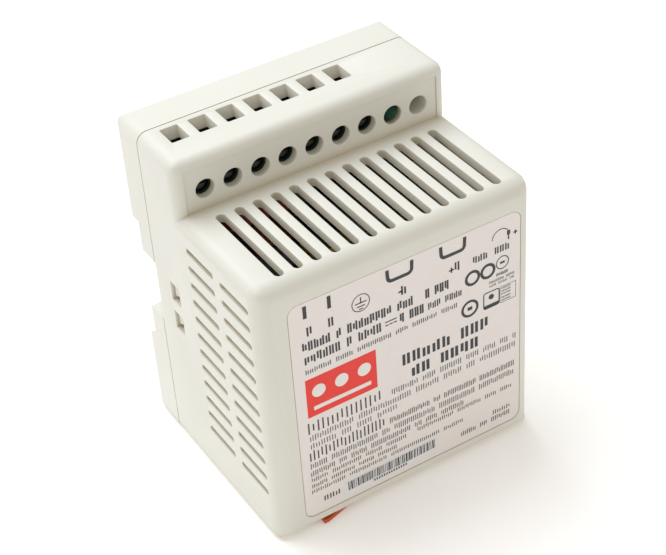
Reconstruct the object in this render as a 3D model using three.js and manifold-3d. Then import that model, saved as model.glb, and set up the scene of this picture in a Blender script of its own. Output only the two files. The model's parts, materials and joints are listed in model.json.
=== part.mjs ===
// A DIN rail power supply: a stepped plastic housing snapped on a rear base that hooks on a 35 mm rail,
// with its circuit board, seven rising-clamp terminals, a status light, an output trimmer and a
// sprung rail latch. Millimetres, +Z up, front face towards -Y. The dimensions below count z from the
// case's underside; the whole unit is then raised so that the latch's release arm lies on z = 0.
import * as THREE from "three";
import { mergeVertices } from "three/addons/utils/BufferGeometryUtils.js";
import Module from "manifold-3d";

const wasm = await Module();
wasm.setup();

// ---- Driving dimensions -------------------------------------------------------------------------
const WIDTH = 78;
const HEIGHT = 93;
const DEPTH = 67;
const HALF_W = WIDTH / 2;
const FRONT_Y = -DEPTH / 2;
const REAR_Y = DEPTH / 2;
const VENT_Z = 78; // height of the slotted step
const RISER_Y = FRONT_Y + 36.5; // face with the screwdriver holes
const SPLIT_Y = FRONT_Y + 54; // joint between housing and base
const SPLIT_GAP = 0.3;
const WALL = 2.2;
const VENT_WALL = 2.4;
const ENTRY_WALL = 3.3; // thickness of the top wall that the wire entries pass through
const EDGE_R = 3;
const FRONT_EDGE_R = 3.8;
const FOOT_EDGE_R = 1.6;

const PITCH = 7.62; // terminals, status light and trimmer share one pitch
const TERMINALS = 7;
const FIRST_X = -4 * PITCH;
const AXIS_Z = 83.5;
const LED_X = 3 * PITCH;
const TRIMMER_X = 4 * PITCH;
const DRIVER_HOLE_R = 2.55;
// Tapered wire entries, X by Y; each lies a little left of its screw.
const ENTRY = { shift: -0.65, y: 15.45, mouth: [4.75, 6.75], throat: [4.6, 5.1], depth: 3 };

const TOP_SLOT = { count: 13, pitch: 5.07, middle: 0.55, width: 2.4, y0: FRONT_Y + 3.3, y1: FRONT_Y + 32.6 };
const SIDE_SLOT = { rows: 12, pitch: 5.18, topZ: 70.8, height: 1.7 };
const SIDE_COLUMNS = [
  [FRONT_Y + 3.8, FRONT_Y + 17.1],
  [FRONT_Y + 20.4, FRONT_Y + 33.6],
];
const WINDOW = { y0: 8, y1: 12.6, heights: [[39, 44.6], [48, 53.8]] };

const LABEL = { x0: -31, x1: 35, z0: 3.2, z1: 70.4, r: 2.6, recess: 0.3, face: 0.08, film: 0.19 };
const STICKER = { x0: -19.7, x1: 9.2, z0: 4.4, z1: 9.6, thick: 0.06 };

const SEAT_Y = 27.5; // the face that rests on the rail's front
const SIDE_REAR_Y = 32; // rear face of the base beside the raised pads
const RAIL_SLOT = { z0: 24.4, z1: 63.4 };
const POCKET = { z0: 36.4, z1: 54.6, depth: 6 };
const PAD_HALF_W = 26;

const BOARD = { y0: 19.8, y1: 21.4 };
const BLOCK = { y0: 5.7, z0: 76.2, z1: 88.8, endWall: 3.9 };

const LATCH = { halfW: 11, y0: 28.9, y1: 31.3, z1: 30 };
const RUN = 0.3; // running clearance round the latch
const SPRING_RIB_Z = [7.2, 8.4];
const ARM = { x0: -26, x1: -13, z0: -1.3, z1: -0.1, yoke: 19 }; // release arm under the case
const LATCH_WINDOW = { halfW: 3.2, z0: 6.9, z1: 20.4 };

// ---- Materials ----------------------------------------------------------------------------------
const finish = (color, roughness, metalness = 0) =>
  new THREE.MeshStandardMaterial({ color, roughness, metalness });
const SHELL = finish(0xe6e3da, 0.5);
const LATCH_ORANGE = finish(0xc4541c, 0.45);
const LABEL_FILM = finish(0xcfcac4, 0.4);
const PAPER = finish(0xf2f2f0, 0.6);
const TERMINAL_GREEN = finish(0x1d6b45, 0.5);
const PLATED = finish(0xc9c7be, 0.3, 1);
const BRASS = finish(0xb79a5b, 0.35, 1);
const SPRING_STEEL = finish(0x9a9a98, 0.35, 1);
const LAMINATE = finish(0x2f5d34, 0.45);
const CLEAR_SHEET = finish(0xd8d4c4, 0.35);
const LENS_GREEN = finish(0x0e5a3c, 0.2);
const BLACK_PLASTIC = finish(0x1a1a1b, 0.5);
const TRIMMER_BLUE = finish(0x2b5aa8, 0.4);
const TRIMMER_WHITE = finish(0xdedbd0, 0.45);
const FERRITE = finish(0x3a3a3c, 0.6);
const YELLOW_TAPE = finish(0xd8b83a, 0.45);
const COPPER_WIRE = finish(0xa8552c, 0.35, 0.8);
const FILM_BOX = finish(0x9c3a22, 0.45);
const SLEEVE = finish(0x23252b, 0.35);
const ALUMINIUM = finish(0xb9bbbd, 0.4, 1);
const BLUE_DISC = finish(0x2f62a6, 0.35);
const DARK_DISC = finish(0x2c3a2c, 0.5);
const SCREW_ZINC = finish(0xbfc2c4, 0.35, 1);

// ---- Solid helpers ------------------------------------------------------------------------------
function solidOf(geometry) {
  const bare = geometry.index ? geometry.toNonIndexed() : geometry.clone();
  bare.deleteAttribute("normal");
  bare.deleteAttribute("uv");
  const merged = mergeVertices(bare, 1e-4);
  return new wasm.Manifold(
    new wasm.Mesh({
      numProp: 3,
      vertProperties: merged.attributes.position.array,
      triVerts: new Uint32Array(merged.index.array),
    }),
  );
}

function geometryOf(solid) {
  const { vertProperties, triVerts } = solid.getMesh();
  const geometry = new THREE.BufferGeometry();
  geometry.setAttribute("position", new THREE.BufferAttribute(vertProperties, 3));
  geometry.setIndex(new THREE.BufferAttribute(triVerts, 1));
  const flat = geometry.toNonIndexed();
  flat.computeVertexNormals();
  return flat;
}

const join = (...solids) => solids.reduce((whole, next) => whole.add(next));
const cut = (solid, ...tools) => (tools.length ? solid.subtract(join(...tools)) : solid);

const root = new THREE.Group();

function addPart(name, shape, material) {
  const geometry = shape.isBufferGeometry ? shape : geometryOf(shape);
  const mesh = new THREE.Mesh(geometry, material);
  mesh.name = name;
  root.add(mesh);
  return mesh;
}

function box(x0, x1, y0, y1, z0, z1) {
  const geometry = new THREE.BoxGeometry(x1 - x0, y1 - y0, z1 - z0);
  geometry.translate((x0 + x1) / 2, (y0 + y1) / 2, (z0 + z1) / 2);
  return solidOf(geometry);
}

// A box and its mirror image across the middle of the unit.
const boxPair = (x0, x1, ...rest) => join(box(x0, x1, ...rest), box(-x1, -x0, ...rest));

// A flat shape pushed along an axis. Its own x and y stand for (x, y), (x, z) or (y, z).
function push(axis, shape, from, to, curveSegments = 2) {
  const geometry = new THREE.ExtrudeGeometry(shape, {
    depth: to - from,
    bevelEnabled: false,
    curveSegments,
  });
  if (axis === "z") geometry.translate(0, 0, from);
  if (axis === "y") geometry.rotateX(Math.PI / 2).translate(0, to, 0);
  if (axis === "x") {
    const turn = new THREE.Matrix4().makeBasis(
      new THREE.Vector3(0, 1, 0),
      new THREE.Vector3(0, 0, 1),
      new THREE.Vector3(1, 0, 0),
    );
    geometry.applyMatrix4(turn).translate(from, 0, 0);
  }
  return solidOf(geometry);
}

function cylinderY(x, z, r, y0, y1, sides = 16) {
  const geometry = new THREE.CylinderGeometry(r, r, y1 - y0, sides);
  geometry.translate(x, (y0 + y1) / 2, z);
  return solidOf(geometry);
}

function cylinderX(x0, x1, y, z, r, sides = 16) {
  const geometry = new THREE.CylinderGeometry(r, r, x1 - x0, sides).rotateZ(Math.PI / 2);
  geometry.translate((x0 + x1) / 2, y, z);
  return solidOf(geometry);
}

// Rectangle with its own radius at each corner: [low-low, high-low, high-high, low-high].
function roundedRect(u0, u1, v0, v1, radii) {
  const [a, b, c, d] = Array.isArray(radii) ? radii : [radii, radii, radii, radii];
  const shape = new THREE.Shape();
  shape.moveTo(u0 + a, v0);
  shape.lineTo(u1 - b, v0);
  if (b) shape.absarc(u1 - b, v0 + b, b, -Math.PI / 2, 0, false);
  shape.lineTo(u1, v1 - c);
  if (c) shape.absarc(u1 - c, v1 - c, c, 0, Math.PI / 2, false);
  shape.lineTo(u0 + d, v1);
  if (d) shape.absarc(u0 + d, v1 - d, d, Math.PI / 2, Math.PI, false);
  shape.lineTo(u0, v0 + a);
  if (a) shape.absarc(u0 + a, v0 + a, a, Math.PI, 1.5 * Math.PI, false);
  return shape;
}

function outline(points) {
  return new THREE.Shape(points.map(([u, v]) => new THREE.Vector2(u, v)));
}

// Rounds a block's edges along all three axes by crossing three pushed profiles.
function roundedBlock({ x0, x1, y0, y1, z0, z1, plan, front, side }) {
  const tall = push("z", roundedRect(x0, x1, y0, y1, plan), z0, z1, 3);
  const deep = push("y", roundedRect(x0, x1, z0, z1, front), y0, y1, 3);
  const wide = push("x", roundedRect(y0, y1, z0, z1, side), x0, x1, 3);
  return tall.intersect(deep).intersect(wide);
}

// ---- Front housing ------------------------------------------------------------------------------
function topSlots(z0, z1, curveSegments) {
  const { count, pitch, middle, width, y0, y1 } = TOP_SLOT;
  return Array.from({ length: count }, (_, i) => {
    const x = middle + (i - (count - 1) / 2) * pitch;
    return push("z", roundedRect(x - width / 2, x + width / 2, y0, y1, width / 2), z0, z1, curveSegments);
  });
}

function sideSlots() {
  const { rows, pitch, topZ, height } = SIDE_SLOT;
  const tools = [];
  for (let row = 0; row < rows; row++) {
    const z = topZ - row * pitch;
    for (const [y0, y1] of SIDE_COLUMNS) {
      const shape = roundedRect(y0, y1, z - height / 2, z + height / 2, height / 2);
      tools.push(push("x", shape, HALF_W - WALL - 1, HALF_W + 1, 1));
      tools.push(push("x", shape, -HALF_W - 1, -HALF_W + WALL + 1, 1));
    }
  }
  return tools;
}

// A four-sided taper from the top face down to the throat, then straight through.
function wireEntry(x) {
  const { y, mouth, throat, depth } = ENTRY;
  const taper = new THREE.BoxGeometry(1, 1, depth);
  const corners = taper.attributes.position;
  for (let i = 0; i < corners.count; i++) {
    const [w, d] = corners.getZ(i) > 0 ? mouth : throat;
    corners.setX(i, corners.getX(i) * w);
    corners.setY(i, corners.getY(i) * d);
  }
  taper.translate(x, y, HEIGHT - depth / 2);
  const [w, d] = throat;
  const low = HEIGHT - ENTRY_WALL - 1;
  const through = box(x - w / 2, x + w / 2, y - d / 2, y + d / 2, low, HEIGHT - depth + 0.1);
  const lid = box(x - mouth[0] / 2, x + mouth[0] / 2, y - mouth[1] / 2, y + mouth[1] / 2, HEIGHT, HEIGHT + 1);
  return [solidOf(taper), through, lid];
}

function frontHousing() {
  const lower = roundedBlock({
    x0: -HALF_W, x1: HALF_W, y0: FRONT_Y, y1: SPLIT_Y, z0: 0, z1: VENT_Z,
    plan: [FRONT_EDGE_R, FRONT_EDGE_R, 0, 0],
    front: [FOOT_EDGE_R / 2, FOOT_EDGE_R / 2, EDGE_R, EDGE_R],
    side: [FOOT_EDGE_R, 0, 0, FRONT_EDGE_R],
  });
  const upper = roundedBlock({
    x0: -HALF_W, x1: HALF_W, y0: RISER_Y, y1: SPLIT_Y, z0: VENT_Z - 10, z1: HEIGHT,
    plan: [EDGE_R, EDGE_R, 0, 0],
    front: [0, 0, EDGE_R, EDGE_R],
    side: [0, 0, 0, EDGE_R],
  });
  const inside = HALF_W - WALL;
  const hollow = join(
    box(-inside, inside, FRONT_Y + VENT_WALL, SPLIT_Y + 1, WALL, VENT_Z - VENT_WALL),
    box(-inside, inside, RISER_Y + VENT_WALL, SPLIT_Y + 1, WALL, HEIGHT - ENTRY_WALL),
  );
  const tools = [...topSlots(VENT_Z - 4, VENT_Z + 1, 2), ...topSlots(-1, WALL + 1, 1), ...sideSlots()];
  for (let i = 0; i < TERMINALS + 2; i++) {
    const x = FIRST_X + i * PITCH;
    tools.push(cylinderY(x, AXIS_Z, DRIVER_HOLE_R, RISER_Y - 1, RISER_Y + VENT_WALL + 1));
    if (i < TERMINALS) tools.push(...wireEntry(x + ENTRY.shift));
  }
  for (const [z0, z1] of WINDOW.heights)
    tools.push(boxPair(HALF_W - WALL - 1, HALF_W + 1, WINDOW.y0, WINDOW.y1, z0, z1));
  // The screwdriver face is set back a little between its rounded ends.
  tools.push(box(-36, 36, RISER_Y - 1, RISER_Y + 0.25, VENT_Z, HEIGHT - EDGE_R));
  const bed = roundedRect(LABEL.x0 - 0.2, LABEL.x1 + 0.2, LABEL.z0 - 0.2, LABEL.z1 + 0.2, LABEL.r);
  tools.push(push("y", bed, FRONT_Y - 1, FRONT_Y + LABEL.recess));
  const shell = cut(join(lower, upper).subtract(hollow), ...tools);
  // A tube behind the trimmer's hole guides the screwdriver.
  const guide = cut(
    cylinderY(TRIMMER_X, AXIS_Z, DRIVER_HOLE_R + 1.1, RISER_Y + VENT_WALL - 0.2, 10.4),
    cylinderY(TRIMMER_X, AXIS_Z, DRIVER_HOLE_R, RISER_Y, 11),
  );
  return shell.add(guide);
}

// ---- Rear base ----------------------------------------------------------------------------------
function baseBody() {
  const y0 = SPLIT_Y + SPLIT_GAP;
  const profile = outline([
    [y0, 0],
    [SIDE_REAR_Y - 1.5, 0],
    [SIDE_REAR_Y, 1.5],
    [SIDE_REAR_Y, RAIL_SLOT.z0],
    [SEAT_Y + 1, 27.1],
    [SEAT_Y, 27.1],
    [SEAT_Y, RAIL_SLOT.z1],
    [SIDE_REAR_Y, RAIL_SLOT.z1],
    [SIDE_REAR_Y, HEIGHT - 2],
    [SIDE_REAR_Y - 2, HEIGHT],
    [y0, HEIGHT],
  ]);
  const side = push("x", profile, -HALF_W, HALF_W);
  const front = roundedRect(-HALF_W, HALF_W, 0, HEIGHT, [0.8, 0.8, EDGE_R, EDGE_R]);
  const plan = roundedRect(-HALF_W, HALF_W, y0, SIDE_REAR_Y, [0, 0, 1.5, 1.5]);
  const body = side.intersect(push("y", front, y0, REAR_Y, 3)).intersect(push("z", plan, 0, HEIGHT));
  // Raised pads above and below the rail slot carry the hooks and the latch.
  const upperPad = outline([
    [SEAT_Y, RAIL_SLOT.z1],
    [REAR_Y, RAIL_SLOT.z1],
    [REAR_Y, 86],
    [SIDE_REAR_Y - 1, 88.5],
    [SEAT_Y, 88.5],
  ]);
  const lowerPad = outline([
    [SEAT_Y - 1, 0],
    [REAR_Y, 0],
    [REAR_Y, RAIL_SLOT.z0 - 1],
    [SEAT_Y + 1.2, 27.1],
    [SEAT_Y - 1, 27.1],
  ]);
  return join(
    body,
    push("x", upperPad, -PAD_HALF_W, PAD_HALF_W),
    push("x", lowerPad, -PAD_HALF_W + 8, PAD_HALF_W - 8),
  );
}

function railHooks() {
  const hook = outline([
    [SEAT_Y + 1.5, RAIL_SLOT.z1 + 1],
    [SEAT_Y + 1.5, 61.6],
    [SEAT_Y + 2, 61],
    [SEAT_Y + 4.4, 62.6],
    [SEAT_Y + 4.4, RAIL_SLOT.z1 + 1],
  ]);
  return [push("x", hook, -22, -8), push("x", hook, 8, 22)];
}

function snapArms() {
  const armRoot = SPLIT_Y + SPLIT_GAP;
  const arms = [];
  for (const [z0] of WINDOW.heights) {
    const arm = outline([
      [34.7, armRoot - 1.4],
      [34.7, 7.6],
      [35.6, 7],
      [38.1, 11.6],
      [38.1, 12.2],
      [36.4, 12.2],
      [36.4, armRoot - 1.4],
    ]);
    const solid = push("z", arm, z0 + 1.2, z0 + 5.3);
    arms.push(solid, solid.mirror([1, 0, 0]));
  }
  return arms;
}

function rearBase() {
  const y0 = SPLIT_Y + SPLIT_GAP;
  const inside = HALF_W - WALL;
  const pocketWall = HALF_W - POCKET.depth;
  const hollow = join(
    box(-inside, inside, y0 - 1, SIDE_REAR_Y - WALL, RAIL_SLOT.z1 + WALL, HEIGHT - WALL - 1),
    box(-inside, inside, y0 - 1, SEAT_Y - WALL, POCKET.z1 + WALL, RAIL_SLOT.z1 + WALL + 1),
    box(-pocketWall + 2, pocketWall - 2, y0 - 1, SEAT_Y - WALL, POCKET.z0 - 3, POCKET.z1 + 3),
    box(-inside, inside, y0 - 1, SEAT_Y - WALL, RAIL_SLOT.z0 - WALL - 1, POCKET.z0 - WALL),
    boxPair(17, inside, y0 - 1, SIDE_REAR_Y - WALL, WALL, RAIL_SLOT.z0 - WALL),
    box(-17.5, 17.5, y0 - 1, LATCH.y0 - RUN - WALL, WALL, RAIL_SLOT.z0 - WALL),
  );
  const pockets = boxPair(pocketWall, HALF_W + 1, y0 - 1, SEAT_Y + 1, POCKET.z0, POCKET.z1);
  const channel = join(
    box(-LATCH.halfW - RUN, LATCH.halfW + RUN, LATCH.y0 - RUN, REAR_Y + 1, -1, 28),
    box(-12.9, 12.9, LATCH.y0 - RUN, 30.4, -1, 28),
  );
  const lip = cut(
    box(-inside + 0.3, inside - 0.3, 17.6, y0 + 1.5, WALL + 0.3, 74),
    box(-inside + 1.7, inside - 1.7, 17, y0 + 2, WALL + 1.7, 75),
    box(-inside, inside, 17, y0 - 1.4, POCKET.z0 - 2, POCKET.z1 + 2),
  );
  const closers = boxPair(pocketWall - 2, inside - 0.3, y0 - 1.4, y0, POCKET.z0 - 2, POCKET.z1 + 2);
  const boardPosts = [
    ...[-30, 30].map((x) => cylinderY(x, 72, 2.5, BOARD.y1 + 0.1, SIDE_REAR_Y - 1, 12)),
    ...[-30, 30].map((x) => cylinderY(x, 10, 2.5, BOARD.y1 + 0.1, SIDE_REAR_Y - 1, 12)),
  ];
  const springRib = box(-2.7, 2.7, LATCH.y0 - RUN - 1, 32.4, ...SPRING_RIB_Z);
  const shell = cut(baseBody().subtract(hollow), pockets, channel);
  return join(shell, lip, closers, springRib, ...railHooks(), ...snapArms(), ...boardPosts);
}

// ---- Rail latch and its spring ------------------------------------------------------------------
function railLatch() {
  const { halfW, y0, y1, z1 } = LATCH;
  const nose = outline([
    [y0, 24],
    [y1, 24],
    [y1, z1 - 2.6],
    [y0 + 0.8, z1],
    [y0, z1],
  ]);
  // The arm runs forward under the case; its tip is cut on the slant and ends level with the front.
  const arm = outline([
    [ARM.x0, FRONT_Y],
    [ARM.x0 + 1.2, FRONT_Y],
    [ARM.x1, FRONT_Y + 3.4],
    [ARM.x1, ARM.yoke],
    [halfW, ARM.yoke + 4],
    [halfW, y1],
    [-halfW, y1],
    [ARM.x0, ARM.yoke + 4],
  ]);
  const body = join(
    box(-halfW, halfW, y0, y1, ARM.z0, 24.5),
    push("z", arm, ARM.z0, ARM.z1),
    box(-halfW - 1.6, halfW + 1.6, y0, y0 + 1.2, 3, 23.6),
    push("x", nose, -halfW, halfW),
    box(-halfW + 1, halfW - 1, y1 - 0.5, y1 + 1, 22, 23.5),
  );
  const windowTool = box(
    -LATCH_WINDOW.halfW, LATCH_WINDOW.halfW, y0 - 1, y1 + 1, LATCH_WINDOW.z0, LATCH_WINDOW.z1,
  );
  const pullSlot = push("y", roundedRect(-4.2, 4.2, 1.9, 4.5, 1), y0 - 1, y1 + 1);
  return cut(body, windowTool, pullSlot);
}

// Compression spring: a round wire on a helix, ends closed by the last flat turns.
function latchSpring() {
  const wireR = 0.24;
  const turns = 6;
  const coilR = 1.6;
  const z0 = SPRING_RIB_Z[1] + 0.2 + wireR;
  const z1 = LATCH_WINDOW.z1 - 0.2 - wireR;
  class Helix extends THREE.Curve {
    getPoint(t, target = new THREE.Vector3()) {
      const angle = 2 * Math.PI * turns * t;
      const x = coilR * Math.cos(angle);
      const y = 30.9 + coilR * Math.sin(angle);
      return target.set(x, y, z0 + (z1 - z0) * t);
    }
  }
  const section = new THREE.Shape();
  section.absarc(0, 0, wireR, 0, 2 * Math.PI, false);
  return new THREE.ExtrudeGeometry(section, {
    steps: turns * 9,
    curveSegments: 3,
    extrudePath: new Helix(),
    bevelEnabled: false,
  });
}

// ---- Terminals ----------------------------------------------------------------------------------
const terminalX = (i) => FIRST_X + i * PITCH;

function terminalBlock() {
  const { y0, z0, z1, endWall } = BLOCK;
  const rear = BOARD.y0 - 0.1;
  const body = box(terminalX(0) - endWall, terminalX(TERMINALS - 1) + endWall, y0, rear, z0, z1);
  const tools = [];
  for (let i = 0; i < TERMINALS; i++) {
    const x = terminalX(i);
    tools.push(cylinderY(x, AXIS_Z, 2.3, y0 - 1, 9, 16));
    tools.push(box(x - 3, x + 3, 8.4, rear - 0.4, AXIS_Z - 2.9, AXIS_Z + 2.9));
    tools.push(box(x - 1.9, x + 1.9, 13, 18.6, AXIS_Z, z1 + 1));
    tools.push(box(x - 2, x + 2, 13.1, 14.5, z0 - 1, AXIS_Z));
  }
  return cut(body, ...tools);
}

// A slotted cheese-head screw whose tip bears on the contact.
function terminalScrew(i) {
  const x = terminalX(i);
  const body = join(
    cylinderY(x, AXIS_Z, 2.1, 6.2, 8, 16),
    cylinderY(x, AXIS_Z, 1.25, 7.9, 13, 12),
  );
  return cut(body, box(x - 2.3, x + 2.3, 6, 6.9, AXIS_Z - 0.35, AXIS_Z + 0.35));
}

// A rectangular clamp that the screw draws towards its head; the wire lies inside it.
function wireClamp(i) {
  const x = terminalX(i);
  const ring = cut(
    box(x - 2.8, x + 2.8, 11.7, 19, AXIS_Z - 2.5, AXIS_Z + 2.5),
    box(x - 2.1, x + 2.1, 12.9, 18.1, AXIS_Z - 3, AXIS_Z + 3),
    cylinderY(x, AXIS_Z, 1.4, 11, 13.2, 12),
  );
  return ring;
}

// A flat contact between screw tip and wire, with its pin through the board.
function contact(i) {
  const x = terminalX(i);
  const profile = outline([
    [13.3, AXIS_Z + 2.2],
    [13.3, BLOCK.z0 - 0.9],
    [BOARD.y0 - 0.2, BLOCK.z0 - 0.9],
    [BOARD.y0 - 0.2, BLOCK.z0 - 0.1],
    [14.1, BLOCK.z0 - 0.1],
    [14.1, AXIS_Z + 2.2],
  ]);
  return push("x", profile, x - 1.8, x + 1.8);
}

// ---- Board and what stands on it ----------------------------------------------------------------
function circuitBoard() {
  const { y0, y1 } = BOARD;
  const plate = cut(
    box(-34.8, 34.8, y0, y1, 5, 87),
    boxPair(30.4, 36, y0 - 1, y1 + 1, POCKET.z0 - 3, POCKET.z1 + 3),
  );
  const rivets = [-30, 30].flatMap((x) => [10, 72].map((z) => cylinderY(x, z, 1.2, 19, 22, 10)));
  return cut(plate, ...rivets);
}

const FACE = BOARD.y0 - 0.1; // where parts stand on the board

// A can with a rolled rim groove near its free end.
function canCapacitor(x, z, r, length) {
  const groove = FACE - length + 2.5;
  return cut(
    cylinderY(x, z, r, FACE - length, FACE - 0.2, 16),
    cut(cylinderY(x, z, r + 1, FACE - 4, FACE - 3.2, 16), cylinderY(x, z, r - 0.5, groove, FACE, 16)),
  );
}

// A power device stands on the board with its tab flat against the heat sink at x.
const TAB_HOLE = 12.4; // from the device's shoulder to the fixing screw

function powerPackage(x, y, z) {
  const tab = box(x, x + 1, y - 15.2, y, z - 5, z + 5);
  const bulk = box(x + 1, x + 4.4, y - 9, y, z - 5, z + 5);
  const legs = [-2.5, 0, 2.5].map((dz) => box(x + 1.9, x + 2.5, y - 1, FACE, z + dz - 0.4, z + dz + 0.4));
  return cut(join(tab, bulk, ...legs), cylinderX(x - 1, x + 2, y - TAB_HOLE, z, 1.7, 12));
}

function packageScrew(x, y, z) {
  const yc = y - TAB_HOLE;
  const body = join(cylinderX(x + 1.1, x + 3.1, yc, z, 2.7), cylinderX(x - 2.8, x + 1.2, yc, z, 1.35, 12));
  return cut(body, box(x + 2.3, x + 4, yc - 3, yc + 3, z - 0.35, z + 0.35));
}

function finnedSink(x0, x1, y0, z0, z1, finTowards, screwY, screwZ) {
  const plate = box(x0, x1, y0, FACE - 1, z0, z1);
  const foot = [z0 + 3, z1 - 3].map((z) => box(x0 + 0.3, x1 - 0.3, FACE - 2, FACE, z - 1, z + 1));
  const fins = [0.1, 0.5, 0.9].map((share) => {
    const z = z0 + (z1 - z0) * share;
    const near = finTowards < 0 ? x0 - 4 : x1 - 0.2;
    return box(near, near + 4.2, y0, FACE - 3, z - 0.6, z + 0.6);
  });
  return cut(join(plate, ...foot, ...fins), cylinderX(x0 - 1, x1 + 1, screwY, screwZ, 1.7, 12));
}

// Two E cores closed round the winding window, as one ferrite frame.
function transformerCore(x, z) {
  const y1 = FACE - 3.2;
  const y0 = y1 - 26;
  return cut(
    box(x - 6.2, x + 6.2, y0, y1, z - 13, z + 13),
    box(x - 7, x + 7, y0 + 4, y0 + 10.1, z - 9.5, z + 9.5),
    box(x - 7, x + 7, y1 - 10.1, y1 - 4, z - 9.5, z + 9.5),
  );
}

function transformerWinding(x, z) {
  const y1 = FACE - 3.2;
  const yc = y1 - 13;
  const ring = push("z", roundedRect(x - 12, x + 12, yc - 8.7, yc + 8.7, 3), z - 8.2, z + 8.2);
  return cut(ring, box(x - 6.5, x + 6.5, yc - 3.2, yc + 3.2, z - 9, z + 9));
}

function transformerBobbin(x, z) {
  const y1 = FACE - 3.2;
  const yc = y1 - 13;
  const flanges = [z - 9.3, z + 8.4].map((low) => box(x - 12.4, x + 12.4, yc - 8.7, FACE - 2.6, low, low + 0.9));
  const base = cut(
    box(x - 12.4, x + 12.4, FACE - 2.6 - 0.4, FACE - 0.1, z - 12, z + 12),
    box(x - 5, x + 5, FACE - 4, FACE + 1, z - 6, z + 6),
  );
  const well = box(x - 7, x + 7, yc - 8.9, yc - 2.9, z - 14, z + 14);
  const wellBack = box(x - 6.5, x + 6.5, yc - 3.1, y1 + 0.2, z - 14, z + 14);
  return join(cut(join(...flanges), well, wellBack), base);
}

function chokeCore(x, z) {
  return cut(
    box(x - 9, x + 9, FACE - 21, FACE - 1.5, z - 3, z + 3),
    box(x - 5.4, x + 5.4, FACE - 17.5, FACE - 5, z - 4, z + 4),
  );
}

function chokeWinding(x, z) {
  const ring = push("y", roundedRect(x - 4.1, x + 4.1, z - 5.4, z + 5.4, 2), FACE - 17, FACE - 5.5);
  return cut(ring, box(x - 2.1, x + 2.1, FACE - 22, FACE, z - 3.3, z + 3.3));
}

function disc(x, z, r, thick) {
  const geometry = new THREE.CylinderGeometry(r, r, thick, 20).rotateZ(Math.PI / 2);
  geometry.translate(x, FACE - r - 2, z);
  const legs = [-2.5, 2.5].map((dz) => box(x - 0.3, x + 0.3, FACE - r, FACE, z + dz - 0.3, z + dz + 0.3));
  return join(solidOf(geometry), ...legs);
}

function statusLed() {
  const bulb = new THREE.Shape();
  const tip = RISER_Y + 0.35;
  const r = 2.35;
  bulb.moveTo(0, tip);
  bulb.absarc(0, tip + r, r, -Math.PI / 2, 0, false);
  bulb.lineTo(r, 9.6);
  bulb.lineTo(2.8, 9.6);
  bulb.lineTo(2.8, 10.6);
  bulb.lineTo(0, 10.6);
  const geometry = new THREE.LatheGeometry(bulb.getPoints(3), 14);
  geometry.translate(LED_X, 0, AXIS_Z);
  return geometry;
}

function trimmerRotor() {
  const knob = cylinderY(TRIMMER_X, AXIS_Z, 1.7, 11.6, 13.4, 20);
  const bar = (halfX, halfZ) =>
    box(TRIMMER_X - halfX, TRIMMER_X + halfX, 11, 12.3, AXIS_Z - halfZ, AXIS_Z + halfZ);
  return cut(knob, bar(1.3, 0.3), bar(0.3, 1.3));
}

function trimmerBody() {
  const half = 3.3;
  const body = box(TRIMMER_X - half, TRIMMER_X + half, 12.2, FACE, AXIS_Z - half, AXIS_Z + half);
  return cut(body, cylinderY(TRIMMER_X, AXIS_Z, 1.9, 11, 13.7, 20));
}

// ---- Assembly -----------------------------------------------------------------------------------
addPart("front_housing", frontHousing(), SHELL);
addPart("rear_base", rearBase(), SHELL);
addPart("rail_latch", railLatch(), LATCH_ORANGE);
addPart("latch_spring", latchSpring(), SPRING_STEEL);

const labelShape = roundedRect(LABEL.x0, LABEL.x1, LABEL.z0, LABEL.z1, LABEL.r);
const labelFront = FRONT_Y + LABEL.face;
addPart("label_plate", push("y", labelShape, labelFront, labelFront + LABEL.film, 3), LABEL_FILM);
addPart(
  "serial_sticker",
  box(STICKER.x0, STICKER.x1, FRONT_Y, FRONT_Y + STICKER.thick, STICKER.z0, STICKER.z1),
  PAPER,
);

addPart("circuit_board", circuitBoard(), LAMINATE);
addPart("insulation_sheet", box(-28.4, 28.4, 24.6, 24.9, 26, 62), CLEAR_SHEET);
addPart("terminal_block", terminalBlock(), TERMINAL_GREEN);
for (let i = 0; i < TERMINALS; i++) {
  addPart(`terminal_screw_${i + 1}`, terminalScrew(i), SCREW_ZINC);
  addPart(`wire_clamp_${i + 1}`, wireClamp(i), PLATED);
  addPart(`terminal_contact_${i + 1}`, contact(i), BRASS);
}

addPart("status_led", statusLed(), LENS_GREEN);
addPart("led_spacer", cylinderY(LED_X, AXIS_Z, 2.6, 10.8, FACE, 16), TRIMMER_WHITE);
addPart("trimmer_body", trimmerBody(), TRIMMER_BLUE);
addPart("trimmer_rotor", trimmerRotor(), TRIMMER_WHITE);

addPart("fuse", push("y", roundedRect(-34, -28, 61.5, 71, 1.2), FACE - 8, FACE), BLACK_PLASTIC);
addPart("line_capacitor", push("y", roundedRect(-24, -7, 66, 73.6, 0.6), FACE - 14, FACE), FILM_BOX);
addPart("choke_core", chokeCore(-20, 56), FERRITE);
addPart("choke_winding_1", chokeWinding(-27.2, 56), COPPER_WIRE);
addPart("choke_winding_2", chokeWinding(-12.8, 56), COPPER_WIRE);
addPart("inrush_thermistor", disc(-3.5, 66, 6, 3.6), DARK_DISC);
addPart("bridge_rectifier", push("y", roundedRect(-29, -25.5, 33, 47.5, 0.4), FACE - 15, FACE), BLACK_PLASTIC);
addPart("bulk_capacitor", canCapacitor(-21.8, 22, 9, 34), SLEEVE);
addPart("primary_heat_sink", finnedSink(-7.6, -5.6, -10, 9, 37, -1, 12 - TAB_HOLE, 18), ALUMINIUM);
addPart("power_transistor", powerPackage(-5.4, 12, 18), BLACK_PLASTIC);
addPart("transistor_screw", packageScrew(-5.4, 12, 18), SCREW_ZINC);
addPart("transformer_core", transformerCore(9, 50), FERRITE);
addPart("transformer_winding", transformerWinding(9, 50), YELLOW_TAPE);
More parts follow.
